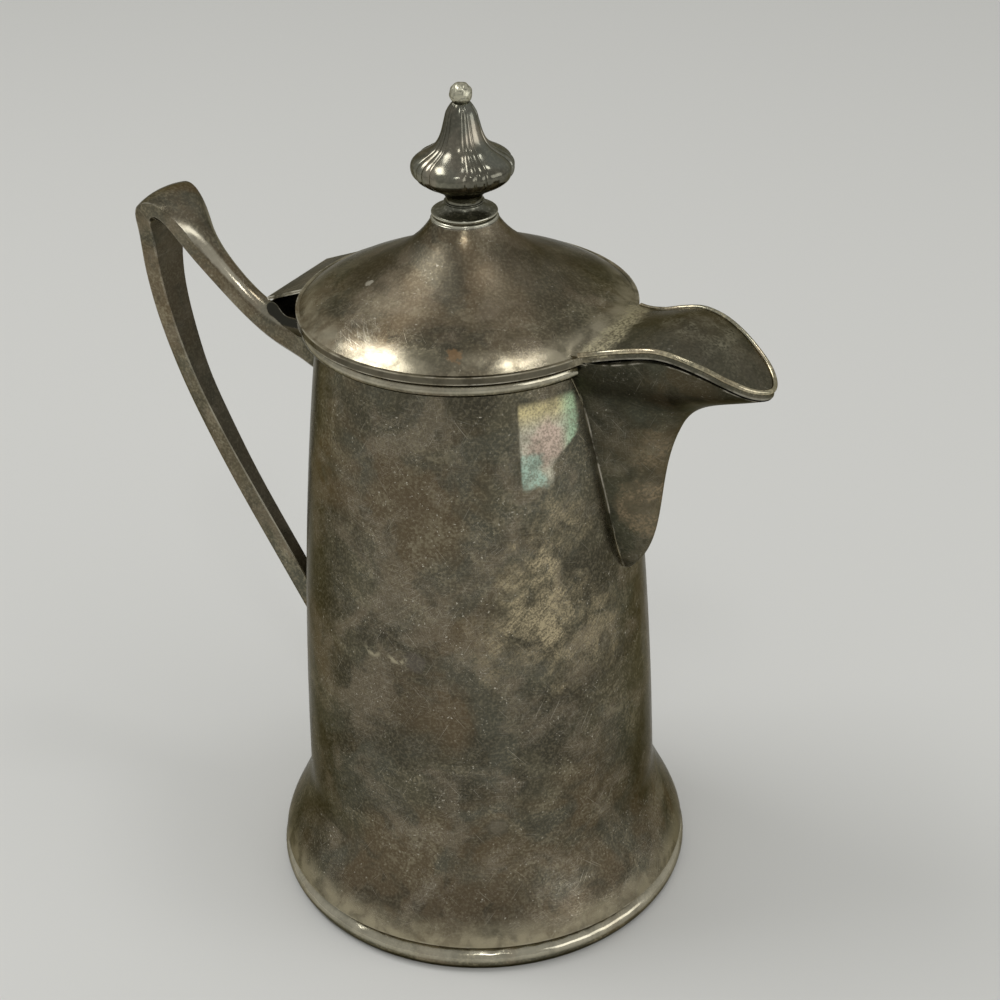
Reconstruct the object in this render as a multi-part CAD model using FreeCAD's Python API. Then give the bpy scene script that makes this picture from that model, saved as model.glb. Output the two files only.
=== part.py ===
import FreeCAD, Part
import math
import os

# Hinged-lid coffee pot in plated sheet metal, sizes in millimetres.
# Z is the pot's own axis, the foot stands on Z = 0, the spout points to +X and the handle to -X.

Vector = FreeCAD.Vector
ORIGIN = Vector(0, 0, 0)
UP = Vector(0, 0, 1)
ACROSS = Vector(0, 1, 0)

# Foot wire and body of revolution, outside radii from the foot up to the rim
foot_radius = 55.0
foot_wire_height = 7.4
foot_wire_depth = 3.6
foot_tread_width = 2.2
foot_wire_swell = 3.5
flare_radius = 54.3
flare_pull_radius = 53.2
flare_pull_height = 13.0
instep_pull_radius = 46.4
instep_pull_height = 21.5
ankle_radius = 46.15
ankle_height = 30.0
belly_pull_radius = 45.0
shoulder_pull_radius = 42.1
rim_radius = 35.8
rim_height = 160.8
body_wall = 1.2
solder_gap = 0.05

# Domed bottom disc inside the flare
base_height = 11.0
base_thickness = 1.2
base_dome = 2.5

# Half-round moulding under the lid, open at the spout
moulding_height = 3.7
moulding_depth = 4.2
moulding_drop = 0.1
moulding_gap_angle = 21.0

# Lid: edge band, ogee dome and the ring that drops into the mouth
lid_gap = 0.3
lid_radius = 40.8
lid_wall = 1.2
lid_draw = 0.7
lid_band_height = 1.9
lid_ledge = 0.9
lid_quarter_radius = 36.6
lid_quarter_rise = 4.1
lid_shoulder_radius = 31.4
lid_shoulder_rise = 6.6
lid_waist_radius = 22.0
lid_waist_rise = 11.0
lid_throat_radius = 13.0
lid_throat_rise = 16.8
lid_crown_radius = 7.9
lid_height = 22.9
bezel_wall = 1.0
bezel_depth = 3.5
bezel_clearance = 1.4
bezel_seat_gap = 0.2
bezel_gap_angle = 27.0

# Beak: the lid's flap and the spout's lip share one plan and one crest, reaches beyond the lid
beak_root_reach = -16.0
beak_root_half_width = 17.5
beak_flare_reach = -3.4
beak_flare_half_width = 15.3
beak_flare_rise = 0.3
beak_waist_reach = 2.2
beak_waist_half_width = 12.9
beak_waist_rise = 1.2
beak_crest_reach = 13.2
beak_crest_half_width = 12.7
beak_crest_rise = 4.1
beak_nose_reach = 28.2
beak_nose_half_width = 9.5
beak_nose_rise = 0.2
beak_tip_reach = 35.5
beak_tip_half_width = 5.0
beak_tip_rise = -4.1
beak_reach = 37.8
beak_overrun = 22.0
beak_overrun_drop = 6.0
beak_margin = 2.0
beak_crown_radius = 40.0
flap_wall = 1.0
flap_band_height = 2.0
flap_band_thickness = 1.5
lip_gap = 0.45

# Spout stations: drop below the rim, half width, ridge reach beyond the rim radius
spout_wall = 1.2
spout_root_depth = 7.0
spout_flank_share = 0.55
spout_nose_share = 0.45
spout_stations = [
    (60.0, 1.5, 8.2),
    (54.0, 3.7, 12.6),
    (44.0, 5.9, 15.5),
    (30.0, 8.2, 17.3),
    (18.0, 9.6, 20.8),
    (11.0, 10.6, 27.0),
    (6.0, 12.0, 40.7),
    (1.0, 13.6, 51.2),
    (-7.0, 15.5, 62.2),
]

# Covered hinge between lid and handle
hinge_reach = 12.2
hinge_drop = 5.4
hinge_half_length = 13.0
knuckle_radius = 2.1
lid_knuckle_half_length = 4.0
knuckle_end_gap = 0.25
knuckle_room = 0.9
pin_radius = 0.8
pin_clearance = 0.05
hood_clearance = 0.5
hood_thickness = 0.8
hood_slope = 22.0
hood_curl = 6.0
web_start = 1.0
web_length = 4.0
web_taper = 1.5
leaf_thickness = 2.7
leaf_drop = 1.0
leaf_valley = 5.0
leaf_blend = 1.6
leaf_blend_angle = 35.0
gusset_height = 8.0
gusset_half_width = 3.4
gusset_heel = 2.0

# Handle stations: reach beyond the rim radius, height over the rim, way outwards in degrees,
# width and thickness. The inner edges are eased, widely on the arm and finely on the leg.
handle_crown = 2.6
handle_crown_share = 0.45
handle_arm_edge = 1.9
handle_leg_edge = 0.25
handle_arm_way = 60.0
handle_leg_way = 130.0
handle_stations = [
    (-3.7, -26.3, 84.0, 9.5, 12.0),
    (12.6, -23.5, 76.0, 8.2, 10.3),
    (21.3, -20.9, 66.0, 7.0, 8.5),
    (29.2, -16.8, 54.0, 6.3, 7.7),
    (35.4, -12.1, 49.0, 6.1, 7.6),
    (41.2, -6.7, 47.0, 6.8, 7.8),
    (45.9, -1.1, 44.0, 8.8, 7.9),
    (49.1, 4.3, 45.0, 12.0, 7.2),
    (50.6, 7.0, 60.0, 14.4, 6.3),
    (51.6, 8.6, 95.0, 16.2, 5.7),
    (52.2, 8.2, 124.0, 16.6, 6.2),
    (53.0, 4.4, 164.0, 14.4, 5.6),
    (53.7, -3.0, 178.0, 11.0, 6.0),
    (53.1, -14.0, 187.0, 8.8, 6.6),
    (50.6, -26.0, 195.0, 7.5, 6.6),
    (46.6, -38.5, 201.0, 6.2, 6.4),
    (42.4, -47.7, 205.5, 5.7, 6.4),
    (34.6, -62.5, 209.5, 4.7, 6.6),
    (23.5, -81.2, 211.5, 4.2, 6.8),
    (16.2, -93.2, 211.5, 4.1, 6.9),
    (9.4, -104.4, 211.5, 4.1, 6.9),
    (2.6, -115.6, 211.5, 4.1, 6.9),
]

# Finial: turned collar, lobed bell and the ball-headed bolt that clamps them to the lid.
# Bell profile: radius and height over the collar. Six wide lobes, with a pair of narrow ribs
# between each two, fade in over the neck.
collar_radius = 7.7
collar_height = 3.0
collar_foot_height = 0.8
collar_ring_height = 1.3
collar_undercut = 0.5
collar_shoulder_radius = 5.2
finial_bore_gap = 0.05
finial_profile = [
    (5.0, 0.0),
    (4.3, 2.0),
    (6.6, 4.6),
    (10.6, 6.8),
    (12.15, 9.4),
    (9.6, 12.0),
    (5.9, 15.6),
    (4.3, 20.0),
    (3.3, 23.2),
    (1.9, 24.9),
]
finial_rings = 12
lobe_count = 6
lobe_turn = -44.5
lobe_start = 2.6
lobe_full = 6.0
groove_depth = 0.06
rib_pitch = 12.0
rib_dip = 0.25
lobe_edge = 18.0
lobe_edge_dip = 0.3
bolt_radius = 1.0
bead_radius = 2.6
bead_sink = 0.8
washer_radius = 4.0
washer_thickness = 0.8
nut_across_flats = 5.5
nut_height = 2.4
bolt_tail = 1.2

# Places that follow from the sizes above
flare_height = foot_wire_height + solder_gap
lid_seat = rim_height + lid_gap
lid_top = lid_seat + lid_height
flap_edge = lid_seat + flap_band_height
hinge_axis = Vector(-rim_radius - hinge_reach, 0, rim_height - hinge_drop)
finial_base = lid_top + collar_height + solder_gap
finial_top = finial_base + finial_profile[-1][1]
bolt_bore = bolt_radius + finial_bore_gap
nut_seat = lid_top - lid_wall - solder_gap - washer_thickness - solder_gap


def spline(points):
    """Smooth curve through points."""
    curve = Part.BSplineCurve()
    curve.interpolate(points)
    return curve.toShape()


def bezier(poles):
    curve = Part.BezierCurve()
    curve.setPoles(poles)
    return curve.toShape()


def arc(start, via, end):
    return Part.Arc(start, via, end).toShape()


def at(radius, height):
    """Point of a section that lies in the XZ plane."""
    return Vector(radius, 0, height)


def outline(*parts):
    """Closed face from edges and corner points; straight lines fill the steps between them."""
    edges = []
    ends = []
    for part in parts:
        if isinstance(part, Vector):
            ends.append((part, part, None))
        else:
            ends.append((part.firstVertex(True).Point, part.lastVertex(True).Point, part))
    for (_, last, edge), (following, _, _) in zip(ends, ends[1:] + ends[:1]):
        if edge is not None:
            edges.append(edge)
        if last.distanceToPoint(following) > 1e-6:
            edges.append(Part.makeLine(last, following))
    return Part.Face(Part.Wire(edges))


def reversed_edge(edge):
    curve = edge.Curve.copy()
    curve.reverse()
    return curve.toShape()


def turned(face, angle=360.0):
    return face.revolve(ORIGIN, UP, angle)


def pushed(face, half_width):
    """Face in the XZ plane, extruded to both sides of it."""
    face.translate(ACROSS * -half_width)
    return face.extrude(ACROSS * (2 * half_width))


def drum(radius, bottom, top):
    return Part.makeCylinder(radius, top - bottom, at(0, bottom))


def rod(radius, half_length):
    """Round bar on the hinge axis."""
    return Part.makeCylinder(radius, 2 * half_length, hinge_axis - ACROSS * half_length, ACROSS)


def body_side(inset):
    """Flare and side of the body from foot to rim, moved inwards by inset."""
    third = (rim_height - ankle_height) / 3
    flare = bezier([
        at(flare_radius - inset, flare_height),
        at(flare_pull_radius - inset, flare_pull_height),
        at(instep_pull_radius - inset, instep_pull_height),
        at(ankle_radius - inset, ankle_height),
    ])
    side = bezier([
        at(ankle_radius - inset, ankle_height),
        at(belly_pull_radius - inset, ankle_height + third),
        at(shoulder_pull_radius - inset, rim_height - third),
        at(rim_radius - inset, rim_height),
    ])
    return [flare, side]


def body_envelope():
    """Solid body, a solder gap larger, that soldered pieces are cut back to."""
    return turned(outline(*body_side(-solder_gap), at(0, rim_height), at(0, flare_height)))


def radius_at(height, inset):
    level = Part.makeLine(at(0, height), at(2 * foot_radius, height))
    return level.distToShape(Part.Wire(body_side(inset)))[1][0][0].x


def beak_section(drop, half_width, reach, inset):
    """Level section of the spout: two flanks that meet in a rounded ridge."""
    height = rim_height - drop
    root = rim_radius - spout_root_depth
    ridge = rim_radius + reach - inset
    width = half_width - inset
    flank = root + spout_flank_share * (ridge - root)
    near = [Vector(root, -width, height), Vector(flank, -width, height),
            Vector(ridge, -spout_nose_share * width, height), Vector(ridge, 0, height)]
    far = [Vector(p.x, -p.y, p.z) for p in reversed(near)]
    return Part.Wire([bezier(near), bezier(far), Part.makeLine(far[-1], near[0])])


def beak_form(inset):
    return Part.makeLoft([beak_section(*station, inset) for station in spout_stations], True, False)


def spout_channel():
    """Space inside the spout, which also opens the body's wall behind it."""
    return beak_form(spout_wall)


def crown_drop(half_width):
    return half_width ** 2 / (2 * beak_crown_radius)


def beak_slab(upper, lower):
    """Arched slab along the beak's crest, between two levels over the flap's top face."""
    half = beak_root_half_width + beak_margin
    crest = [
        (beak_root_reach, beak_flare_rise + crown_drop(beak_flare_half_width)),
        (beak_flare_reach, beak_flare_rise + crown_drop(beak_flare_half_width)),
        (beak_waist_reach, beak_waist_rise + crown_drop(beak_waist_half_width)),
        (beak_crest_reach, beak_crest_rise + crown_drop(beak_crest_half_width)),
        (beak_nose_reach, beak_nose_rise + crown_drop(beak_nose_half_width)),
        (beak_tip_reach, beak_tip_rise + crown_drop(beak_tip_half_width)),
        (beak_reach + beak_overrun, beak_tip_rise - beak_overrun_drop),
    ]
    sections = []
    for reach, rise in crest:
        top = Vector(lid_radius + reach, 0, flap_edge + rise + upper)
        down = Vector(0, 0, lower - upper)
        side = Vector(0, half, -crown_drop(half))
        mirror = Vector(0, -half, -crown_drop(half))
        sections.append(Part.Wire([
            arc(top + mirror, top, top + side),
            Part.makeLine(top + side, top + side + down),
            arc(top + side + down, top + down, top + mirror + down),
            Part.makeLine(top + mirror + down, top + mirror),
        ]))
    return Part.makeLoft(sections, True, False)


def beak_plan(inset):
    """Upright prism over the flap's plan, from inside the dome to the tip."""
    sides = [
        (beak_root_reach, beak_root_half_width),
        (beak_flare_reach, beak_flare_half_width),
        (beak_waist_reach, beak_waist_half_width),
        (beak_crest_reach, beak_crest_half_width),
        (beak_nose_reach, beak_nose_half_width),
        (beak_tip_reach - inset / 2, beak_tip_half_width),
    ]
    near = [Vector(lid_radius + reach, inset - half, 0) for reach, half in sides]
    far = [Vector(p.x, -p.y, 0) for p in reversed(near)]
    edge = spline(near + [Vector(lid_radius + beak_reach - inset, 0, 0)] + far)
    face = Part.Face(Part.Wire([edge, Part.makeLine(far[-1], near[0])]))
    return face.extrude(UP * (2 * lid_top))


def body_shell():
    inner = [reversed_edge(edge) for edge in reversed(body_side(body_wall))]
    return turned(outline(*body_side(0), *inner)).cut(spout_channel())


def base_plate():
    """Disc pressed to a shallow spherical cap, the same thickness all over."""
    edge = radius_at(base_height + base_thickness, body_wall) - solder_gap
    ball = (edge ** 2 + base_dome ** 2) / (2 * base_dome)
    crown = at(0, base_height + base_dome)
    knee = at(edge / 2, crown.z - ball + math.sqrt(ball ** 2 - (edge / 2) ** 2))
    lift = UP * base_thickness
    under = arc(at(edge, base_height), knee, crown)
    over = arc(crown + lift, knee + lift, at(edge, base_height) + lift)
    return turned(outline(under, over))


def foot_rim():
    inner = foot_radius - foot_wire_depth
    tread = inner + foot_tread_width
    shoulder = at(flare_radius - body_wall / 2, foot_wire_height)
    side = arc(at(tread, 0), at(foot_radius, foot_wire_swell), shoulder)
    return turned(outline(side, at(inner, foot_wire_height), at(inner, 0)))


def rim_moulding():
    top = rim_height - moulding_drop
    bottom = top - moulding_height
    front = at(rim_radius + moulding_depth, (top + bottom) / 2)
    flank = front.x - moulding_height / 2
    half_round = arc(at(flank, bottom), front, at(flank, top))
    root = rim_radius - body_wall
    ring = turned(outline(half_round, at(root, top), at(root, bottom)), 360 - 2 * moulding_gap_angle)
    ring.rotate(ORIGIN, UP, moulding_gap_angle)
    return ring.cut(body_envelope()).cut(beak_form(-solder_gap))


def spout():
    lip = beak_slab(lid_top, -flap_band_height - lip_gap)
    under_lid = drum(lid_radius + lip_gap, rim_height, 2 * rim_height)
    form = beak_form(0).cut(body_envelope()).cut(lip).cut(under_lid)
    return form.cut(spout_channel())


def strap_section(reach, rise, way, width, thickness):
    """Cross-section of the handle: inner face, eased edges, straight flanks and a crowned back."""
    inner = at(-rim_radius - reach, rim_height + rise)
    out = Vector(math.cos(math.radians(way)), 0, math.sin(math.radians(way)))
    crown = min(handle_crown * thickness / width, handle_crown_share * width)
    leg_share = min(max((way - handle_arm_way) / (handle_leg_way - handle_arm_way), 0), 1)
    edge = handle_arm_edge + (handle_leg_edge - handle_arm_edge) * leg_share

    def corners(across):
        flank = inner + across * (width / 2)
        return flank - across * edge, flank + out * edge, flank + out * (thickness - crown)

    near_face, near_flank, near_back = corners(-ACROSS)
    far_face, far_flank, far_back = corners(ACROSS)
    return Part.Wire([
        Part.makeLine(near_face, near_flank), Part.makeLine(near_flank, near_back),
        arc(near_back, inner + out * thickness, far_back), Part.makeLine(far_back, far_flank),
        Part.makeLine(far_flank, far_face), Part.makeLine(far_face, near_face)])


def handle():
    strap = Part.makeLoft([strap_section(*station) for station in handle_stations], True, False)
    return strap.cut(body_envelope())


def hinge_lug():
    """Leaf with two knuckles, and the gusset that carries it on the handle's arm."""
    leaf_top = hinge_axis.z - leaf_drop
    leaf_bottom = leaf_top - leaf_thickness
    root = -rim_radius + body_wall
    heel = hinge_axis.x + knuckle_radius
    turn = math.radians(leaf_blend_angle)
    brow = hinge_axis + at(knuckle_radius * math.cos(turn), knuckle_radius * math.sin(turn))
    fall = at(leaf_blend * math.sin(turn), -leaf_blend * math.cos(turn))
    valley = at(hinge_axis.x + leaf_valley, leaf_top)
    blend = bezier([brow, brow + fall, valley - at(leaf_blend, 0), valley])
    chin = hinge_axis - at(knuckle_radius * math.cos(turn), knuckle_radius * math.sin(turn))
    leaf = pushed(outline(blend, at(root, leaf_top), at(root, leaf_bottom), at(heel, leaf_bottom), chin),
                  hinge_half_length)
    flare = []
    for left, half, height in ((heel, hinge_half_length, leaf_bottom),
                               (heel - gusset_heel, gusset_half_width, leaf_bottom - gusset_height)):
        flare.append(Part.makePolygon([
            Vector(left, -half, height), Vector(root, -half, height),
            Vector(root, half, height), Vector(left, half, height), Vector(left, -half, height)]))
    gusset = Part.makeLoft(flare, True, True)
    lug = rod(knuckle_radius, hinge_half_length).fuse([leaf, gusset]).removeSplitter()
    slot = rod(knuckle_radius + knuckle_room, lid_knuckle_half_length + knuckle_end_gap)
    bore = rod(pin_radius, hinge_half_length)
    return lug.cut(slot).cut(bore).cut(handle()).cut(body_envelope())


def hinge_pin():
    return rod(pin_radius, hinge_half_length)


def tipped(shape):
    """Turn a level hood piece up to the hood's slope about the hinge axis."""
    shape.rotate(hinge_axis, ACROSS, -hood_slope)
    return shape


def hinge_hood():
    inside = knuckle_radius + hood_clearance
    outside = inside + hood_thickness
    curl = math.radians(90 + hood_curl)
    half = math.radians(90 + hood_curl / 2)

    def rim(radius, angle):
        return hinge_axis + at(radius * math.cos(angle), radius * math.sin(angle))

    far_end = hinge_reach + bezel_clearance
    top = arc(rim(outside, curl), rim(outside, half), rim(outside, math.pi / 2))
    under = arc(rim(inside, math.pi / 2), rim(inside, half), rim(inside, curl))
    plate = pushed(outline(top, hinge_axis + at(far_end, outside), hinge_axis + at(far_end, inside),
                           under), hinge_half_length)
    return tipped(plate).cut(drum(lid_radius + solder_gap, 0, 2 * lid_top))


def lid_knuckle():
    """Tube on the pin with the web that is soldered under the hood."""
    under = knuckle_radius + hood_clearance - solder_gap
    web = pushed(outline(hinge_axis + at(-web_start, 0), hinge_axis + at(-web_start, under),
                         hinge_axis + at(web_length, under), hinge_axis + at(web_length - web_taper, 0)),
                 lid_knuckle_half_length)
    tube = rod(knuckle_radius, lid_knuckle_half_length).fuse(tipped(web)).removeSplitter()
    return tube.cut(rod(pin_radius + pin_clearance, lid_knuckle_half_length))


def dome_side(sink, draw):
    """Ogee from the lid's ledge up to its crown, lowered by sink and drawn in by draw."""
    stations = [
        (lid_radius - lid_ledge, lid_band_height),
        (lid_quarter_radius, lid_quarter_rise),
        (lid_shoulder_radius, lid_shoulder_rise),
        (lid_waist_radius, lid_waist_rise),
        (lid_throat_radius, lid_throat_rise),
        (lid_crown_radius, lid_height),
    ]
    return spline([at(radius - draw, lid_seat + rise - sink) for radius, rise in stations])


def lid():
    inside = lid_radius - lid_ledge - lid_draw
    outer = dome_side(0, 0)
    inner = reversed_edge(dome_side(lid_wall, lid_draw))
    dome = turned(outline(at(lid_radius, lid_seat), at(lid_radius, lid_seat + lid_band_height), outer,
                          at(bolt_bore, lid_top), at(bolt_bore, lid_top - lid_wall), inner,
                          at(inside, lid_seat)))
    beyond = beak_plan(0).common(beak_slab(0, -flap_band_height))
    dome_space = turned(outline(outer, at(0, lid_top), at(0, 0), at(lid_radius - lid_ledge, 0)))
    flap = beyond.cut(dome_space)
    cavity = beak_plan(flap_band_thickness).common(beak_slab(-flap_wall, -lid_height))
    return dome.fuse(flap).cut(cavity).removeSplitter()


def lid_bezel():
    outside = rim_radius - body_wall - bezel_clearance
    inside = outside - bezel_wall
    edge = lid_radius - lid_ledge - lid_draw - solder_gap
    seat = rim_height + bezel_seat_gap
    flange_top = lid_seat + lid_band_height - lid_wall - solder_gap
    ring = turned(outline(at(inside, rim_height - bezel_depth), at(outside, rim_height - bezel_depth),
                          at(outside, seat), at(edge, seat), at(edge, flange_top),
                          at(inside, flange_top)), 360 - 2 * bezel_gap_angle)
    ring.rotate(ORIGIN, UP, bezel_gap_angle)
    return ring


def finial_collar():
    """Thin foot band, a rounded edge above it and a sloping top that runs up to the neck."""
    base = lid_top + solder_gap
    top = lid_top + collar_height
    edge = collar_radius - collar_undercut
    waist = base + collar_foot_height
    brow = waist + collar_ring_height
    ring = arc(at(edge, waist), at(collar_radius, (waist + brow) / 2), at(edge, brow))
    return turned(outline(at(collar_radius, base), at(collar_radius, waist), ring,
                          at(collar_shoulder_radius, top), at(bolt_bore, top), at(bolt_bore, base)))


def lobed_ring(radius, height):
    """Level section of the bell: wide lobes with a pair of narrow ribs between each two."""
    share = min(max((height - finial_base - lobe_start) / (lobe_full - lobe_start), 0), 1)
    dips = [(-rib_pitch, 1), (-rib_pitch / 2, rib_dip), (0, 1), (rib_pitch / 2, rib_dip), (rib_pitch, 1),
            (lobe_edge, lobe_edge_dip), (180 / lobe_count, 0), (360 / lobe_count - lobe_edge, lobe_edge_dip)]
    points = []
    for lobe in range(lobe_count):
        middle = lobe_turn + 360 * lobe / lobe_count
        for angle, dip in dips:
            turn = math.radians(middle + angle)
            reach = radius * (1 - groove_depth * share * dip)
            points.append(Vector(reach * math.cos(turn), reach * math.sin(turn), height))
    ring = Part.BSplineCurve()
    ring.interpolate(points, PeriodicFlag=True)
    return Part.Wire([ring.toShape()])


def finial():
    side = spline([at(radius, finial_base + rise) for radius, rise in finial_profile])
    rings = [lobed_ring(point.x, point.z) for point in side.discretize(finial_rings)]
    bell = Part.makeLoft(rings, True, False)
    return bell.cut(drum(bolt_bore, finial_base, finial_top))


def finial_bolt():
    base = finial_top + solder_gap
    centre = base + bead_radius - bead_sink
    neck = math.sqrt(bead_radius ** 2 - (bead_radius - bead_sink) ** 2)
    tail = nut_seat - nut_height - bolt_tail
    ball = arc(at(neck, base), at(bead_radius, centre), at(0, centre + bead_radius))
    return turned(outline(ball, at(0, tail), at(bolt_radius, tail), at(bolt_radius, base)))


def finial_washer():
    top = lid_top - lid_wall - solder_gap
    return drum(washer_radius, top - washer_thickness, top).cut(drum(bolt_bore, 0, 2 * lid_top))


def finial_nut():
    corner = nut_across_flats / math.sqrt(3)
    ring = []
    for side in range(7):
        angle = math.radians(60 * side)
        ring.append(Vector(corner * math.cos(angle), corner * math.sin(angle), nut_seat - nut_height))
    block = Part.Face(Part.makePolygon(ring)).extrude(UP * nut_height)
    return block.cut(drum(bolt_bore, 0, 2 * lid_top))


nodes = {
    "body_shell": body_shell,
    "base_plate": base_plate,
    "foot_rim": foot_rim,
    "rim_moulding": rim_moulding,
    "spout": spout,
    "handle": handle,
    "hinge_lug": hinge_lug,
    "hinge_pin": hinge_pin,
    "lid": lid,
    "lid_bezel": lid_bezel,
    "hinge_hood": hinge_hood,
    "lid_knuckle": lid_knuckle,
    "finial_collar": finial_collar,
    "finial": finial,
    "finial_bolt": finial_bolt,
    "finial_washer": finial_washer,
    "finial_nut": finial_nut,
}

os.makedirs("parts", exist_ok=True)
for name, make in nodes.items():
    shape = make()
    shape.exportStep("parts/" + name + ".step")
    box = shape.optimalBoundingBox()
    print(name, "solids", len(shape.Solids), "valid", shape.isValid(), "volume", round(shape.Volume, 1),
          "x", round(box.XMin, 1), round(box.XMax, 1), "y", round(box.YMin, 1), round(box.YMax, 1),
          "z", round(box.ZMin, 1), round(box.ZMax, 1))
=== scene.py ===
from math import atan2, pi, radians, sin

import bmesh
import bpy
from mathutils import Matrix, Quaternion, Vector, noise
from mathutils.bvhtree import BVHTree
from mathutils.geometry import interpolate_bezier


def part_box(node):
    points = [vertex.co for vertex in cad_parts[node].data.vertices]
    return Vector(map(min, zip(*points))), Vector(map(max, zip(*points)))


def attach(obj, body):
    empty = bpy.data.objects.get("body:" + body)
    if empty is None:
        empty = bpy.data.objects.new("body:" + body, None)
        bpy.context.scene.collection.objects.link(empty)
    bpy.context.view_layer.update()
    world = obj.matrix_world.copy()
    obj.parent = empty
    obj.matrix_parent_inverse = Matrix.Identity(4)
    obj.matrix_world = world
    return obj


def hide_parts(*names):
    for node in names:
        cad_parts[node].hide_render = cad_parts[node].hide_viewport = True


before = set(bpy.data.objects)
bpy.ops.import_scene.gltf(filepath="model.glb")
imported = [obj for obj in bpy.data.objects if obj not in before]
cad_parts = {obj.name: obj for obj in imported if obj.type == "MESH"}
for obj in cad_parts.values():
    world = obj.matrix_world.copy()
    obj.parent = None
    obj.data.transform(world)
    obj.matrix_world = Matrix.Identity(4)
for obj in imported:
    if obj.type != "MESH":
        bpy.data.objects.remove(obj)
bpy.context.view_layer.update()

mm = 0.001


# The body: a tapered drum rolled from one brass sheet and plated with silver, which has gone dull
# and brown with age. Its foot flares out, and the coffee leaves by a window behind the spout.

class Shade:
    """One socket of a finish: sums and products of shades add Math nodes to its tree."""

    def __init__(self, tree, socket=None):
        self.tree = tree
        self.socket = socket

    def node(self, kind, settings, sockets, output=0):
        made = self.tree.nodes.new(kind)
        for name, value in settings.items():
            setattr(made, name, value)
        for name, value in sockets.items():
            if isinstance(value, Shade):
                self.tree.links.new(value.socket, made.inputs[name])
            else:
                made.inputs[name].default_value = value
        return Shade(self.tree, made.outputs[output] if made.outputs else None)

    def math(self, operation, *operands):
        return self.node("ShaderNodeMath", {"operation": operation}, dict(enumerate(operands)))

    def __add__(self, other):
        return self.math("ADD", self, other)

    def __sub__(self, other):
        return self.math("SUBTRACT", self, other)

    def __rsub__(self, other):
        return self.math("SUBTRACT", other, self)

    def __mul__(self, other):
        return self.math("MULTIPLY", self, other)

    def __abs__(self):
        return self.math("ABSOLUTE", self)

    __radd__ = __add__
    __rmul__ = __mul__

    def at_most(self, limit):
        return self.math("MINIMUM", self, limit)

    def step(self, low, high):
        """0 below low and 1 above high, or the other way round where low is above high."""
        ends = (0, 1) if low < high else (1, 0)
        return self.node(
            "ShaderNodeMapRange",
            {"interpolation_type": "SMOOTHSTEP"},
            {"Value": self, "From Min": min(low, high), "From Max": max(low, high),
             "To Min": ends[0], "To Max": ends[1]},
        )

    def mix(self, below, above):
        """The colour below where this shade is 0, and the colour above where it is 1."""
        colours = {6: below, 7: above}
        for socket, colour in colours.items():
            if not isinstance(colour, Shade):
                colours[socket] = (*colour, 1)
        return self.node("ShaderNodeMix", {"data_type": "RGBA"}, {0: self, **colours}, 2)


class Patina:
    """The places and patterns that the aged plate of every piece is made from, in millimetres."""

    def __init__(self, name, flat):
        self.material = bpy.data.materials.new(name)
        self.material.use_nodes = True
        tree = self.material.node_tree
        tree.nodes.clear()
        self.start = Shade(tree)
        metres = self.start.node("ShaderNodeTexCoord", {}, {}, "Object")
        self.place = self.start.node(
            "ShaderNodeVectorMath", {"operation": "SCALE"}, {0: metres, "Scale": 1 / mm}
        )
        self.x, self.y, self.z = (
            self.start.node("ShaderNodeSeparateXYZ", {}, {"Vector": self.place}, axis)
            for axis in "XYZ"
        )
        self.turn = self.start.math("ARCTAN2", self.y, self.x)
        self.reach = self.start.math("SQRT", self.x * self.x + self.y * self.y)
        girth = 45
        across, along = (self.x, self.z) if flat else (self.turn * girth, self.z - self.reach)
        self.unrolled = self.start.node(
            "ShaderNodeCombineXYZ", {}, {"X": across, "Y": along, "Z": self.y * (0.2 if flat else 0)}
        )

    def cloud(self, size, detail=4, twist=0.6, shift=0.0):
        """A cloudy pattern whose patches are about the given size."""
        moved = self.start.node(
            "ShaderNodeVectorMath", {"operation": "ADD"}, {0: self.place, 1: (shift, -shift, shift)}
        )
        return self.start.node(
            "ShaderNodeTexNoise",
            {},
            {"Vector": moved, "Scale": 1 / size, "Detail": detail, "Distortion": twist},
        )

    def strokes(self, way, length, width, few):
        """Fine scratches of one length and width that all run one way over the unrolled piece."""
        laid = self.start.node(
            "ShaderNodeVectorRotate",
            {"rotation_type": "Z_AXIS"},
            {"Vector": self.unrolled, "Angle": radians(way)},
        )
        drawn = self.start.node(
            "ShaderNodeVectorMath",
            {"operation": "MULTIPLY"},
            {0: laid, 1: (1 / length, 1 / width, 1)},
        )
        grain = self.start.node(
            "ShaderNodeTexNoise", {}, {"Vector": drawn, "Scale": 1, "Detail": 1, "Roughness": 0.5}
        )
        return grain.step(few, few + 0.12)

    def spot(self, middle, radius, ragged=0.5):
        """1 inside a ragged spot round a place on the piece, and 0 outside it."""
        away = self.start.node(
            "ShaderNodeVectorMath", {"operation": "DISTANCE"}, {0: self.place, 1: middle}, "Value"
        )
        edge = self.cloud(radius * 0.7, 5, 0.4) - 0.5
        return (away + edge * (2 * radius * ragged)).step(radius, radius * 0.55)

    def facing(self, axis):
        """How far the surface faces along an axis: 1 towards its end, and -1 away from it."""
        normal = self.start.node("ShaderNodeTexCoord", {}, {}, "Normal")
        return self.start.node("ShaderNodeSeparateXYZ", {}, {"Vector": normal}, axis)

    def hidden(self, depth, inside=False):
        """How far nearby metal shuts in each point: 1 in the open, less in corners or on edges."""
        return self.start.node(
            "ShaderNodeAmbientOcclusion",
            {"samples": 6, "inside": inside, "only_local": inside},
            {"Distance": depth * mm},
            "AO",
        )


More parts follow.
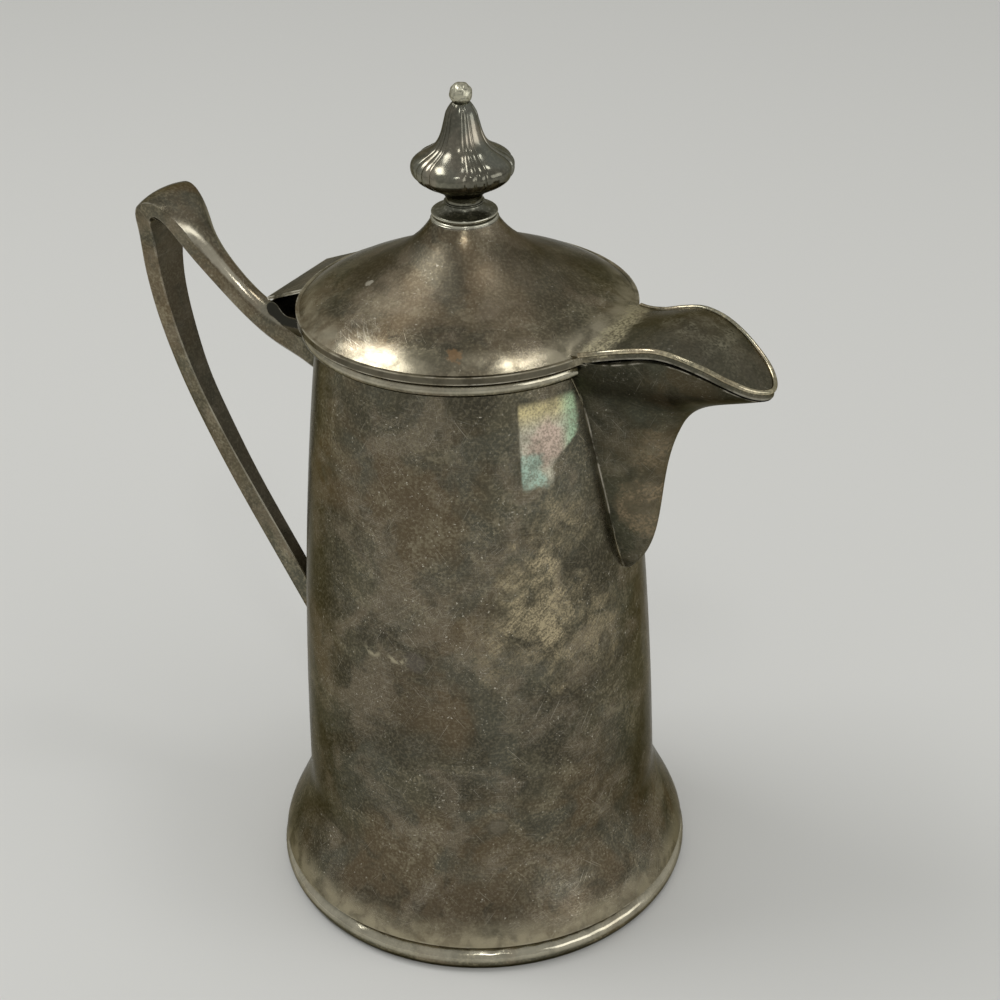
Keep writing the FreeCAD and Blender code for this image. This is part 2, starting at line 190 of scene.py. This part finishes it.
def silver_plate(
    name, seed, tone=1.0, tint=(1, 1, 1), worn=0.5, edges=0.5, rough=0.25, scuffs=1.0, grime_and_shade=0.7,
    speckle=0.36, flat=False, marks=(),
):
    """Old silver plate: brown and grey tarnish, rubbed patches, scratches, bare bright edges, and
    crevices darkened as grime and painted shade.
    """
    dark, olive, umber, ashen, rosy, rubbed = (
        tuple(tone * share * cast for share, cast in zip(colour, tint))
        for colour in (
            (0.064, 0.058, 0.041), (0.110, 0.101, 0.069), (0.138, 0.103, 0.063),
            (0.097, 0.095, 0.072), (0.186, 0.152, 0.106), (0.300, 0.264, 0.180),
        )
    )
    bright = (0.66, 0.62, 0.52)
    soot_and_shade = (0.022, 0.020, 0.015)

    p = Patina(name, flat)
    mottle = p.cloud(26, 8, 0.8, seed)
    smudge = p.cloud(7, 8, 0.7, seed + 31)
    grain = p.cloud(0.7, 4, 0.0, seed + 53)
    bloom = p.cloud(15, 8, 0.8, seed + 97)

    colour = mottle.step(0.40, 0.58).mix(dark, olive)
    colour = (p.cloud(40, 7, 0.5, seed + 71).step(0.42, 0.62) * 0.85).mix(colour, umber)
    colour = (p.cloud(20, 8, 0.7, seed + 13).step(0.48, 0.62) * 0.85).mix(colour, ashen)
    colour = (bloom.step(0.50, 0.66) * 0.7).mix(colour, rosy)
    colour = (smudge.step(0.46, 0.34) * 0.6).mix(colour, dark)
    rub = (smudge * 0.6 + grain * 0.4).step(0.48, 0.66) * mottle.step(0.42, 0.60)
    colour = (rub * worn).mix(colour, rubbed)
    colour = (grain.step(0.42, 0.72) * speckle).mix(colour, rubbed)

    fine = (
        p.strokes(4, 5, 0.12, 0.58)
        + p.strokes(62, 4, 0.11, 0.60)
        + p.strokes(-38, 6, 0.13, 0.60)
        + p.strokes(97, 4, 0.11, 0.60)
    )
    long = (
        p.strokes(52, 14, 0.2, 0.71)
        + p.strokes(-62, 16, 0.2, 0.71)
        + p.strokes(18, 12, 0.2, 0.73)
    )
    scratched = (fine * (0.04 + 0.16 * bloom.step(0.42, 0.64)) + long * 0.5).at_most(1) * scuffs
    colour = scratched.mix(colour, bright)
    specks = p.cloud(0.6, 2, 0, seed + 20).step(0.67, 0.71) * smudge.step(0.46, 0.58)
    colour = (specks * 0.7 * scuffs).mix(colour, bright)

    # Crevices and corners go dark: partly grime, partly painted shade where nearby metal shuts them
    # in.
    crevice_grime_and_shade = p.hidden(4).step(0.60, 0.22)
    colour = (crevice_grime_and_shade * grime_and_shade).mix(colour, soot_and_shade)
    edge = p.hidden(0.5, inside=True).step(0.92, 0.62)
    bare = (edge * p.cloud(5, 5, 0.8, seed).step(0.40, 0.62) * edges).at_most(1)
    colour = bare.mix(colour, bright)

    gloss = rough + 0.14 * (mottle - 0.5) + 0.22 * (smudge - 0.5) + 0.1 * scratched - 0.06 * bare
    for mark in marks:
        colour, gloss = mark(p, colour, gloss)
    dents = p.cloud(30, 1, 0.3, seed + 40) * 0.8 + p.cloud(8, 1, 0, seed + 44) * 0.05
    height = dents + grain * 0.010 - scratched * 0.012
    bumped = p.start.node(
        "ShaderNodeBump", {}, {"Height": height * mm, "Strength": 1, "Distance": 1}
    )
    plate = p.start.node(
        "ShaderNodeBsdfPrincipled",
        {},
        {
            "Base Color": colour, "Roughness": gloss, "Metallic": 1, "Normal": bumped,
            "Specular Tint": (0.45, 0.43, 0.37, 1),
        },
    )
    p.start.node("ShaderNodeOutputMaterial", {}, {"Surface": plate})
    return p.material


weld = 0.002 * mm


def dressed(node, body, finish, crease=32, shape=None):
    """The solid of a CAD node as one smooth skin, which keeps the edges sharper than crease."""
    skin = bmesh.new()
    skin.from_mesh(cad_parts[node].data)
    bmesh.ops.remove_doubles(skin, verts=skin.verts, dist=weld)
    if shape:
        shape(skin)
    for edge in skin.edges:
        edge.smooth = edge.calc_face_angle(pi) < radians(crease)
    for face in skin.faces:
        face.smooth = True
    mesh = bpy.data.meshes.new(node + "_skin")
    skin.to_mesh(mesh)
    skin.free()
    mesh.materials.append(finish)
    piece = bpy.data.objects.new(node + "_skin", mesh)
    bpy.context.scene.collection.objects.link(piece)
    even = piece.modifiers.new("even_shading", "WEIGHTED_NORMAL")
    even.keep_sharp = True
    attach(piece, body)
    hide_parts(node)
    return piece


def rubbed_belly(p, colour, gloss):
    """The belly beside the spout, which hands and cloths have rubbed gold in slanting drifts."""
    speckle = p.cloud(0.45, 5, 0.2).step(0.38, 0.64)
    drift = p.cloud(5, 9, 0.8, 8).step(0.34, 0.64) * (0.5 + 0.5 * p.strokes(-42, 6, 0.9, 0.42))
    zone = (
        p.spot((34, -25, 103), 15, 1.0) * 0.8 + p.spot((37, -22, 99), 7, 1.0) * 0.6
        + p.spot((28, -32, 93), 13, 1.0) * 0.6 + p.spot((40, -16, 88), 14, 1.0) * 0.6
        + p.spot((35, -21, 122), 11, 1.0) * 0.6
    )
    share = (zone * (drift * (0.35 + 0.65 * speckle) + 0.12 * speckle)).at_most(1)
    return share.mix(colour, (0.50, 0.42, 0.27)), gloss + share * 0.04


def rainbow_film_and_reflection(p, colour, gloss):
    """The window of bright metal beside the spout, painted bright as a reflection, with a film of
    rose, yellow and green tarnish on it.
    """
    left, right, corner = radians(-42.5), radians(-31), radians(12)
    ragged = p.cloud(3, 6, 0.5) - 0.5
    window = (
        p.turn.step(left, left + 0.02) * (p.z + ragged * 4).step(131, 133.5) * p.z.step(153.5, 151)
        * (p.turn - p.z.step(136, 144) * corner + ragged * 0.06).step(right + 0.03, right - 0.02)
    )
    film = p.z.step(145, 151).mix((0.72, 0.69, 0.55), (0.80, 0.69, 0.38))
    film = (p.spot((33, -20, 143), 7, 0.8) * 0.8).mix(film, (0.76, 0.57, 0.48))
    film = (p.turn.step(radians(-28), radians(-21)) * 0.8).mix(film, (0.47, 0.72, 0.48))
    film = (p.spot((30, -25, 135), 6, 0.8) * 0.8).mix(film, (0.46, 0.68, 0.57))
    grainy = 0.45 + 0.55 * p.cloud(0.5, 5, 0.3).step(0.36, 0.60)
    patchy = p.cloud(4, 7, 0.5, 3).step(0.34, 0.56)
    share = window * grainy * (0.6 + 0.4 * patchy)
    return share.mix(colour, film), gloss - share * 0.02


def soldered_seam(p, colour, gloss):
    """A pale bloom on the drum along the solder of the spout."""
    share = p.hidden(6).step(0.86, 0.45) * p.z.step(152, 149) * p.z.step(18, 26) * p.x.step(24, 28)
    return (share * 0.8).mix(colour, (0.46, 0.43, 0.33)), gloss + share * 0.10


def pale_flare(p, colour, gloss):
    """The lowest turn of the flare, rubbed to a pale gold above the foot wire."""
    share = p.z.step(15.5, 8.5) * (0.35 + 0.65 * p.cloud(5, 6, 0.6, 2).step(0.36, 0.62))
    return (share * 0.85).mix(colour, (0.44, 0.39, 0.27)), gloss - share * 0.06


def crust(p, colour, gloss):
    """Two small dried drips, whose pale rims curl up at the ends."""
    rims = 0
    for middle, radius in (((-3.4, -43.3, 88.2), 3.0), ((3.4, -43.3, 88.4), 3.3)):
        rims = rims + p.spot(middle, radius, 0.25) * (1 - p.spot(middle, radius * 0.82, 0.25))
    rims = rims * p.z.step(88.4, 86.6) * p.cloud(1.2, 4, 0.5).step(0.36, 0.5)
    ghost = p.spot((8.0, -42.8, 87), 3.4, 0.4) * 0.35
    colour = ghost.mix(colour, (0.20, 0.172, 0.15))
    return rims.at_most(1).mix(colour, (0.62, 0.56, 0.40)), gloss + rims * 0.35


def ring_stain(p, colour, gloss):
    """A small oval water mark low on the body, paler inside than round it."""
    middle = (26.7, -37.2, 39.7)
    inside = p.spot(middle, 3.4, 0.3)
    rim = inside * (1 - p.spot(middle, 2.7, 0.3))
    colour = (inside * 0.45).mix(colour, (0.20, 0.178, 0.135))
    return (rim * 0.5).mix(colour, (0.05, 0.045, 0.032)), gloss + inside * 0.08


body_finish = silver_plate(
    "body_plate", 5, worn=0.65, scuffs=1.2, grime_and_shade=0.2,
    marks=(soldered_seam, rubbed_belly, rainbow_film_and_reflection, pale_flare, crust, ring_stain),
)
body = dressed("body_shell", "pot", body_finish)


# The base plate: a domed disc of sheet brass, pressed into the foot and soldered there. It closes
# the drum, and has the body's finish.

dressed("base_plate", "pot", body_finish)


# The foot rim: a half-round brass wire soldered under the flare. Its plate is rubbed thin and
# bright along the top of the round, where the pot is lifted and set down; that crown is also
# painted bright as a highlight, and the corners beside it are painted dark as grime and shade.

def wiped_with_painted_light(bottom, top):
    """A mark for a wire wiped bright along its crown and painted brighter there as a highlight, with
    its corners painted dark as grime and shade.
    """
    def mark(p, colour, gloss):
        up = (p.z - bottom) * (1 / (top - bottom))
        rubbed = 0.5 + 0.5 * p.cloud(6, 3, 0.4).step(0.30, 0.66)
        crown_wear_and_highlight = up.step(0.36, 0.50) * up.step(0.84, 0.70) * rubbed
        corners = (up.step(0.34, 0.10) + up.step(0.84, 0.96)).at_most(1)
        # The crown is painted bright as wear and highlight, the corners dark as grime and painted
        # shade.
        colour = (crown_wear_and_highlight * 0.75).mix(colour, (0.60, 0.56, 0.44))
        return (corners * 0.8).mix(colour, (0.030, 0.028, 0.021)), gloss - crown_wear_and_highlight * 0.03
    return mark


foot_finish = silver_plate(
    "foot_plate", 130, tone=1.5, worn=0.9, edges=0.2, rough=0.15, scuffs=0.6,
    marks=(wiped_with_painted_light(0, 7.4),),
)


def rounded_off(skin):
    """Round the top of the wire off into a groove under the flare."""
    wire, core, middle = 3.0 * mm, 52.0 * mm, 3.1 * mm
    for vertex in skin.verts:
        reach, rise = vertex.co.xy.length, vertex.co.z - middle
        if reach > core and rise > 0:
            vertex.co.xy *= (core + max(wire ** 2 - rise ** 2, 0) ** 0.5) / reach


dressed("foot_rim", "pot", foot_finish, shape=rounded_off)


# The rim moulding: a half-round brass wire soldered round the mouth, and cut off short on both
# sides of the spout.

# Its crown is wiped bright and painted brighter as a highlight, and its corners are painted dark as
# grime and shade.
moulding_finish = silver_plate(
    "moulding_plate", 160, tone=1.5, worn=0.9, edges=0.2, rough=0.15, scuffs=0.6,
    marks=(wiped_with_painted_light(157.0, 160.7),),
)
dressed("rim_moulding", "pot", moulding_finish)


# The spout: a beak folded from one sheet of brass, closed along its keel and soldered over the
# window in the body.

def brown_keel(p, colour, gloss):
    """The keel of the spout, worn to a warm brown with pale flecks."""
    zone = p.spot((51, -3, 121), 11, 0.8) + p.spot((53, -3, 136), 8, 0.9) * 0.6
    flecks = p.cloud(0.7, 5, 0.2).step(0.40, 0.66) * p.cloud(5, 7, 0.5).step(0.38, 0.60)
    share = (zone * (0.3 + flecks)).at_most(1)
    return (share * 0.9).mix(colour, (0.30, 0.235, 0.15)), gloss + share * 0.05


spout_finish = silver_plate(
    "spout_plate", 220, tone=0.78, tint=(0.94, 1.0, 0.97), worn=0.4, edges=0.9, rough=0.4,
    scuffs=0.6, grime_and_shade=0.2, speckle=0.16, flat=True, marks=(brown_keel,),
)
spout = dressed("spout", "pot", spout_finish)


def bead(name, points, radius, body, finish):
    """A fine round wire of metal laid along points."""
    line = bpy.data.curves.new(name + "_line", "CURVE")
    line.dimensions = "3D"
    line.bevel_depth = radius
    line.bevel_resolution = 3
    line.use_fill_caps = True
    path = line.splines.new("POLY")
    path.points.add(len(points) - 1)
    for place, point in zip(points, path.points):
        point.co = (*place, 1)
    holder = bpy.data.objects.new(name + "_line", line)
    bpy.context.scene.collection.objects.link(holder)
    drawn = holder.evaluated_get(bpy.context.evaluated_depsgraph_get())
    mesh = bpy.data.meshes.new_from_object(drawn)
    bpy.data.objects.remove(holder)
    for face in mesh.polygons:
        face.use_smooth = True
    mesh.materials.clear()
    mesh.materials.append(finish)
    piece = bpy.data.objects.new(name, mesh)
    bpy.context.scene.collection.objects.link(piece)
    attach(piece, body)


# Solder stands up in a fine bright line where the spout meets the body.
body_surface = BVHTree.FromPolygons(
    [vertex.co for vertex in body.data.vertices], [face.vertices for face in body.data.polygons]
)
seam_step = 1.2 * mm
seam_gap = 0.12 * mm
seam = {}
for vertex in spout.data.vertices:
    place = vertex.co
    near = body_surface.find_nearest(place)[3] < seam_gap
    step = (place.y > 0, round(place.z / seam_step))
    if near and (step not in seam or abs(place.y) > abs(seam[step].y)):
        seam[step] = place.copy()
near_side = [place for (far, _), place in seam.items() if not far]
far_side = [place for (far, _), place in seam.items() if far]
near_side.sort(key=lambda place: -place.z)
far_side.sort(key=lambda place: place.z)
seam_line = near_side + far_side
smoothings = 6
for _ in range(smoothings):
    middles = [
        (before + place * 2 + after) / 4
        for before, place, after in zip(seam_line, seam_line[1:], seam_line[2:])
    ]
    seam_line = [seam_line[0], *middles, seam_line[-1]]
seam_finish = silver_plate("seam_plate", 260, tone=1.7, worn=0.5, edges=0, scuffs=0.3, flat=True)
seam_radius = 0.2 * mm
bead("spout_seam", seam_line, seam_radius, "pot", seam_finish)


# The handle: a strap of cast brass, soldered to the body at both ends. It rises from the hinge,
# turns over a sharp corner and falls to the belly in one long curve.

def shaded_inner_face(p, colour, gloss):
    """The inner face of the leg, painted dark as shade."""
    share = p.facing("X").step(0.76, 0.88) * p.hidden(0.5, inside=True).step(0.6, 0.85)
    return (share * 0.65).mix(colour, (0.045, 0.042, 0.032)), gloss + share * 0.08


def chamfer_highlights(p, colour, gloss):
    """The slanting edges of the strap, painted bright as highlights."""
    slant = abs(p.facing("Y"))
    share = slant.step(0.30, 0.48) * slant.step(0.94, 0.84) * p.facing("Z").step(0.05, 0.30)
    share = share * (0.4 + 0.6 * p.cloud(9, 4, 0.5).step(0.36, 0.60))
    return (share * 0.75).mix(colour, (0.58, 0.54, 0.43)), gloss - share * 0.04


handle_finish = silver_plate(
    "handle_plate", 310, tone=1.2, worn=0.5, edges=0.9, rough=0.21, scuffs=0.5, flat=True,
    marks=(shaded_inner_face, chamfer_highlights),
)
dressed("handle", "pot", handle_finish, crease=30)


# The hinge lug: a leaf with the two outer knuckles, soldered to the root of the handle. Its crevices
# are darkened as grime and painted shade, and the ends of its knuckles are painted dark as shade.

def shaded_ends(p, colour, gloss):
    """The sawn ends of the knuckles and of the pin, and the bore, painted dark as shade."""
    axis_x, axis_z = -48.0, 155.4
    along, up = p.x - axis_x, p.z - axis_z
    bore = p.start.math("SQRT", along * along + up * up).step(1.9, 1.6)
    ends = abs(p.y).step(12.6, 12.9)
    ends = ends * (p.hidden(0.4, inside=True).step(0.7, 0.9) + bore).at_most(1)
    return ends.mix(colour, (0.040, 0.039, 0.032)), gloss + ends * 0.1


hinge_finish = silver_plate(
    "hinge_plate", 350, worn=0.2, edges=0.9, rough=0.32, scuffs=0.4, grime_and_shade=0.3, flat=True,
    marks=(shaded_ends,),
)
dressed("hinge_lug", "pot", hinge_finish)


# The hinge pin: a plain brass rod driven through the three knuckles, with its ends filed flush.
# It stays in the lug, and the lid turns on it.

dressed("hinge_pin", "pot", hinge_finish)


# The hinge hood: a folded sheet soldered to the back of the lid, which covers the knuckles. The
# thumb has worn its edges bright.

hood_finish = silver_plate(
    "hood_plate", 390, tone=1.2, worn=0.5, edges=1.4, rough=0.25, scuffs=0.6, grime_and_shade=0.3, flat=True
)
dressed("hinge_hood", "lid", hood_finish)


# The lid knuckle: the middle barrel of the hinge, joined to the hood by its web. It turns on the
# pin between the two knuckles of the lug.

dressed("lid_knuckle", "lid", hinge_finish)


# The lid: an ogee dome spun from one sheet of brass and plated, with a beak-shaped flap soldered
# to its front that covers the spout.

def frosted_crease(p, colour, gloss):
    """The rough pale strip of solder where the flap meets the dome, and the dark flap beyond it."""
    beyond = p.reach.step(43.0, 45.5) * p.x.step(30, 34)
    colour = (beyond * 0.55).mix(colour, (0.085, 0.082, 0.062))
    ragged = (p.cloud(2.2, 6, 0.5) - 0.5) * 5
    reach = p.reach + ragged + p.turn * 2
    strip = reach.step(38.6, 40.4) * reach.step(46.2, 43.6) * p.z.step(162.8, 163.6)
    strip = strip * abs(p.turn).step(0.48, 0.30) * p.x.step(20, 22)
    patchy = 0.4 + 0.6 * p.cloud(3, 6, 0.4).step(0.34, 0.58)
    frost = p.cloud(0.6, 4, 0.2).step(0.44, 0.54) * patchy
    share = strip * (0.2 + 0.8 * frost)
    return share.mix(colour, (0.52, 0.47, 0.31)), gloss + strip * 0.18


def scuffed_flap(p, colour, gloss):
    """The crest of the flap, scuffed by cloths."""
    zone = p.spot((60, 2, 168), 10, 0.9) + p.spot((69, 0, 165), 8, 0.9) * 0.5
    hairs = p.cloud(0.7, 4, 0.2).step(0.36, 0.66) * p.cloud(5, 5, 0.6).step(0.36, 0.62)
    share = (zone * hairs * 0.8).at_most(1)
    return share.mix(colour, (0.27, 0.25, 0.18)), gloss + share * 0.06


def lid_knocks(p, colour, gloss):
    """Bright scrapes by the rim, a copper glint and one pale fleck higher up."""
    scrape = p.spot((-9.3, -33.1, 166.3), 6.5, 0.6) * (
        p.strokes(40, 9, 0.2, 0.56) + p.strokes(14, 8, 0.2, 0.58)) * 0.6
    fleck = p.spot((-15.7, -17.8, 171.2), 1.3, 0.7) * 0.6
    glow = p.spot((15.7, -31.6, 165.9), 2.2, 0.9) * 0.45
    colour = glow.mix(colour, (0.46, 0.27, 0.13))
    return (scrape + fleck).at_most(1).mix(colour, (0.60, 0.56, 0.46)), gloss


def rubbed_rim_and_painted_light(p, colour, gloss):
    """The lowest turn of the dome, rubbed bright where fingers lift it and painted brighter as a
    highlight, and its upright edge painted dark as shade.
    """
    turned_down = p.reach.step(33.5, 38) * p.reach.step(41.5, 40.5) * p.z.step(169, 167)
    share = turned_down * (0.25 + 0.75 * p.cloud(7, 8, 0.7, 4).step(0.40, 0.62))
    inland = p.hidden(0.5, inside=True).step(0.6, 0.85)
    shaded_upright = p.z.step(163.0, 162.5) * p.x.step(37.5, 36.5) * inland
    colour = (share * 0.7).mix(colour, (0.50, 0.45, 0.33))
    return (shaded_upright * 0.7).mix(colour, (0.055, 0.050, 0.037)), gloss - share * 0.04


def dull_dome(p, colour, gloss):
    """The slope above the rim, brown and dull."""
    share = p.z.step(167.5, 171) * p.z.step(183, 178) * p.reach.step(38, 34)
    return (share * 0.35).mix(colour, (0.105, 0.082, 0.055)), gloss + share * 0.14


lid_finish = silver_plate(
    "lid_plate", 470, tone=1.15, worn=0.5, edges=0.9, scuffs=0.8,
    marks=(dull_dome, rubbed_rim_and_painted_light, frosted_crease, scuffed_flap, lid_knocks),
)


def knocked(skin):
    """A knock has pushed the near edge of the flap in, and the whole flap is a little uneven."""
    knock, spread, depth = Vector((70.1, -8.9, 162.7)) * mm, 5 * mm, 0.5 * mm
    flap_start, uneven, ripple = 46 * mm, 0.16 * mm, 6 * mm
    inward = Vector((-0.3, 0.6, -0.7))
    for vertex in skin.verts:
        near = max(1 - (vertex.co - knock).length / spread, 0)
        vertex.co += inward * (depth * near * near)
        if vertex.co.x > flap_start:
            vertex.co.z += uneven * noise.noise(vertex.co / ripple)


lid = dressed("lid", "lid", lid_finish, shape=knocked)

# The sheet of the flap is turned over along its edge, which wears bright.
flap_middle, flap_root, rim_reach = 55 * mm, 36 * mm, 40.5 * mm
lid_shape = bmesh.new()
lid_shape.from_mesh(lid.data)
on_edge = set()
for edge in lid_shape.edges:
    start, end = (vertex.co for vertex in edge.verts)
    middle = (start + end).xy / 2
    out = (middle - Vector((min(middle.x, flap_middle), 0))).normalized()
    upward = max(face.normal.z for face in edge.link_faces)
    outward = max(face.normal.xy.dot(out) for face in edge.link_faces)
    clear = min(start.x, end.x) > flap_root and min(start.xy.length, end.xy.length) > rim_reach
    if clear and not edge.smooth and upward > 0.5 and outward > 0.7:
        on_edge.update(edge.verts)
edge_line = [vertex.co.copy() for vertex in on_edge]
edge_line.sort(key=lambda place: atan2(place.y, place.x - flap_middle))
lid_shape.free()
edge_finish = silver_plate("edge_plate", 430, tone=3.0, worn=0.6, edges=0, rough=0.16, scuffs=0.5)
edge_radius = 0.62 * mm
bead("flap_edge", edge_line, edge_radius, "lid", edge_finish)


# The bezel: a ring of sheet brass soldered inside the lid, which drops into the mouth and keeps
# the lid in its place.

dressed("lid_bezel", "lid", lid_finish)


# The finial collar: a ring turned from brass, which sits on the crown of the dome. Its two rings
# are painted bright as highlights, and the hollow above them stays dull.

def frosted_bead(p, colour, gloss):
    """The bead on top, pitted and frosty."""
    share = p.z.step(211.9, 212.4) * (0.4 + 0.6 * p.cloud(0.7, 4, 0.4).step(0.36, 0.56))
    return share.mix(colour, (0.56, 0.54, 0.42)), gloss + share * 0.2


def dull_collar(p, colour, gloss):
    """The hollow top of the collar, grey and dull, above its two rings, which are painted bright as
    highlights.
    """
    share = p.z.step(185.8, 186.3) * p.z.step(189.2, 188.2)
    upper = p.z.step(185.05, 185.25) * p.z.step(186.0, 185.8)
    lower = p.z.step(184.2, 184.35) * p.z.step(184.85, 184.7)
    ring_highlights = upper + lower
    colour = (ring_highlights * 0.8).mix(colour, (0.66, 0.64, 0.53))
    flecks = p.cloud(0.7, 4, 0.3).step(0.52, 0.64)
    top = (flecks * 0.6).mix((0.13, 0.13, 0.105), (0.42, 0.41, 0.34))
    return (share * 0.75).mix(colour, top), gloss + share * 0.10 - ring_highlights * 0.06


finial_finish = silver_plate(
    "finial_plate", 590, tone=2.0, tint=(0.94, 1.0, 1.12), worn=0.3, edges=0.3, rough=0.2,
    scuffs=0.3, grime_and_shade=0.2, speckle=0.12, marks=(dull_collar, frosted_bead),
)


def turned(node, corners, steps, shape=None):
    """A piece turned on a lathe. Its side is eased through corners, (radius, rise) over its foot."""
    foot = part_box(node)[0].z
    path = [Vector((reach * mm, 0, foot + rise * mm)) for reach, rise in corners]
    path = [path[0], *path, path[-1]]
    side = []
    for before, start, end, after in zip(path, path[1:], path[2:], path[3:]):
        near, far = start + (end - before) / 6, end - (after - start) / 6
        side += interpolate_bezier(start, near, end if end == after else far, end, steps + 1)[:-1]
    side.append(path[-1])
    skin = bmesh.new()
    points = [skin.verts.new(place) for place in side]
    lines = [skin.edges.new(ends) for ends in zip(points, points[1:])]
    bmesh.ops.spin(
        skin, geom=points + lines, cent=(0, 0, 0), axis=(0, 0, 1), angle=2 * pi, steps=240,
        use_merge=True,
    )
    bmesh.ops.remove_doubles(skin, verts=skin.verts, dist=weld)
    bmesh.ops.recalc_face_normals(skin, faces=skin.faces)
    if shape:
        shape(skin, foot)
    for face in skin.faces:
        face.smooth = True
    mesh = bpy.data.meshes.new(node + "_turned")
    skin.to_mesh(mesh)
    skin.free()
    mesh.materials.append(finial_finish)
    piece = bpy.data.objects.new(node + "_turned", mesh)
    bpy.context.scene.collection.objects.link(piece)
    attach(piece, "lid")
    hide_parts(node)


turned("finial_collar", (
    (0, 0), (7.4, 0), (7.75, 0.3), (7.75, 0.6), (7.45, 0.85), (7.2, 0.95), (7.25, 1.1),
    (7.65, 1.25), (7.8, 1.6), (7.65, 1.95), (7.1, 2.15), (6.3, 2.35), (5.6, 2.7), (5.0, 3.2),
    (4.6, 3.8), (4.4, 4.4), (0, 4.4),
), 4)


# The finial: a bud cast in brass, with five broad lobes and a pair of narrow ribs between each
# two. It is bored for the bolt that holds it down on the collar.

def lobed(skin, foot):
    """Press five broad lobes into the bud, with a pair of narrow ribs between each two."""
    lobes, first, rib = 5, radians(-43), radians(12.5)
    pitch = 2 * pi / lobes
    depth, rib_share, fullness = 0.085, 0.75, 0.45
    start, full = foot + 2.6 * mm, foot + 6 * mm
    for vertex in skin.verts:
        share = min(max((vertex.co.z - start) / (full - start), 0), 1)
        turn = abs((atan2(vertex.co.y, vertex.co.x) - first + pitch / 2) % pitch - pitch / 2)
        if turn > rib:
            swell = sin(pi * (turn - rib) / (pitch - 2 * rib)) ** fullness
        else:
            swell = rib_share * sin(pi * turn / rib) ** fullness
        vertex.co.xy *= 1 - depth * share * (1 - swell)


turned("finial", (
    (0, 0), (4.2, 0), (4.3, 1.8), (4.65, 2.9), (5.7, 3.9), (7.4, 4.9), (9.3, 5.9), (10.8, 6.9),
    (11.75, 7.9), (12.15, 9.2), (12.05, 10.4), (11.45, 11.4), (10.2, 12.4), (8.4, 13.4),
    (6.8, 14.5), (5.7, 15.9), (4.85, 17.8), (4.1, 20.6), (3.45, 22.8), (1.9, 24.9), (0, 24.9),
), 5, lobed)


# The finial bolt: a brass bolt that runs down through the bud, the collar and the crown of the
# lid. Its round head is the pitted bead on top.

def pitted(skin):
    """Break the smooth head of the bolt up with small pits."""
    head, pits, depth = 212.2 * mm, 0.9 * mm, 0.14 * mm
    fine = [edge for edge in skin.edges if min(end.co.z for end in edge.verts) > head]
    bmesh.ops.subdivide_edges(skin, edges=fine, cuts=1, use_grid_fill=True)
    for vertex in skin.verts:
        if vertex.co.z > head:
            vertex.co += vertex.normal * (depth * noise.noise(vertex.co / pits))


dressed("finial_bolt", "lid", finial_finish, shape=pitted)


# The washer and the nut: a plain brass ring and a hexagon nut under the crown of the dome, which
# draw the bolt, the bud and the collar down on the lid.

for node in ("finial_washer", "finial_nut"):
    dressed(node, "lid", finial_finish)


# The stage: a plain pale floor in a pale room, with soft lamps above and beside the pot, and a
# camera where the photograph was taken from.

pale_floor = bpy.data.materials.new("pale_floor")
pale_floor.use_nodes = True
floor_shader = pale_floor.node_tree.nodes["Principled BSDF"]
floor_shader.inputs["Base Color"].default_value = (0.72, 0.72, 0.70, 1)
floor_shader.inputs["Roughness"].default_value = 0.8
floor_shape = bmesh.new()
bmesh.ops.create_circle(floor_shape, cap_ends=True, segments=96, radius=6)
floor_mesh = bpy.data.meshes.new("floor")
floor_shape.to_mesh(floor_mesh)
floor_shape.free()
floor_mesh.materials.append(pale_floor)
floor = bpy.data.objects.new("floor", floor_mesh)
bpy.context.scene.collection.objects.link(floor)

world = bpy.data.worlds.new("studio")
world.use_nodes = True
sky = world.node_tree.nodes["Background"]
sky.inputs["Color"].default_value = (0.62, 0.62, 0.60, 1)
sky.inputs["Strength"].default_value = 0.8
bpy.context.scene.world = world


def lamp(name, spot, aim, size, power):
    light = bpy.data.lights.new(name, "AREA")
    light.shape = "RECTANGLE"
    light.size, light.size_y = size
    light.energy = power
    shown = bpy.data.objects.new(name, light)
    shown.location = spot
    shown.rotation_mode = "QUATERNION"
    shown.rotation_quaternion = (Vector(aim) - Vector(spot)).to_track_quat("-Z", "Y")
    bpy.context.scene.collection.objects.link(shown)


lamp("overhead_left", (-0.68, -0.22, 1.20), (0, 0, 0.16), (0.60, 0.40), 4.5)
lamp("overhead_right", (0.30, 0.16, 1.25), (0, 0, 0.16), (0.20, 0.20), 1)
lamp("front", (0.45, -0.75, 1.15), (0, 0, 0.1), (0.18, 0.18), 1.2)
lamp("side_window", (1.25, 0.0, 0.50), (0, 0, 0.1), (1.2, 0.6), 3.6)

camera_spot = Vector((0.22626, -0.36922, 0.36416))
camera_aim = Vector((0.00711, 0.00083, 0.10911))
camera_roll = -0.0250817
camera_data = bpy.data.cameras.new("camera")
camera_data.sensor_width = 36
camera_data.lens = 72
camera_data.clip_start = 0.01
camera = bpy.data.objects.new("camera", camera_data)
camera.location = camera_spot
camera.rotation_mode = "QUATERNION"
level = (camera_aim - camera_spot).to_track_quat("-Z", "Y")
camera.rotation_quaternion = level @ Quaternion((0, 0, 1), camera_roll)
bpy.context.scene.collection.objects.link(camera)
bpy.context.scene.camera = camera
bpy.context.scene.view_settings.view_transform = "Standard"
